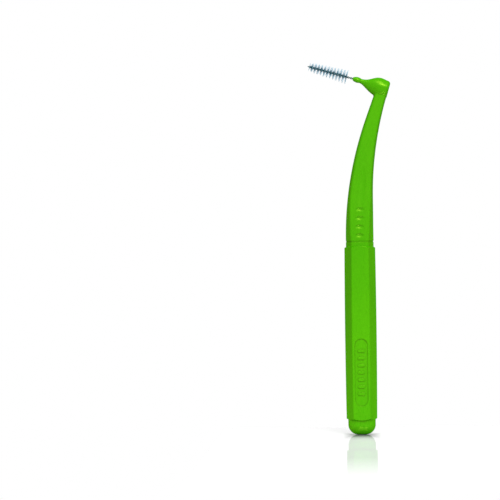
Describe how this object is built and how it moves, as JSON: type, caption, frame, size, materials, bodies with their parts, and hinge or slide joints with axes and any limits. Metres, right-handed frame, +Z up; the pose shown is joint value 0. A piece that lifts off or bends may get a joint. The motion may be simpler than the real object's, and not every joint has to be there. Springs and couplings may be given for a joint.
{
  "type": "interdental brush",
  "caption": "Interdental brush: tapered bristles on a twisted wire stem, angled head, bent neck with thumb grooves, and a hexagonal push-on grip cap that pulls off.",
  "frame": {"origin": "on the grip cap's axis at the middle of its hexagonal barrel, where it is held", "axes": "+Z up the handle towards the head, -X the way the brush points, +Y square to the cap's flat facets"},
  "size_m": [0.0231, 0.007, 0.1043],
  "materials": {
    "cap_plastic": "moulded, glossy",
    "handle_plastic": "moulded, glossy",
    "wire_steel": "drawn wire, dark",
    "filament_nylon": "clear pale blue filament"
  },
  "bodies": {
    "grip": {"grip_cap": "cap_plastic"},
    "brush": {"handle": "handle_plastic", "wire_stem": "wire_steel", "bristle_row_01": "filament_nylon", "bristle_row_02": "filament_nylon", "bristle_row_03": "filament_nylon", "bristle_row_04": "filament_nylon", "bristle_row_05": "filament_nylon", "bristle_row_06": "filament_nylon", "bristle_row_07": "filament_nylon", "bristle_row_08": "filament_nylon", "bristle_row_09": "filament_nylon", "bristle_row_10": "filament_nylon", "bristle_row_11": "filament_nylon", "bristle_row_12": "filament_nylon"}
  },
  "joints": [
    {"name": "handle_pull", "type": "slide", "parent": "grip", "child": "brush", "axis": [0, 0, 1], "range_m": [0, 0.02]}
  ]
}
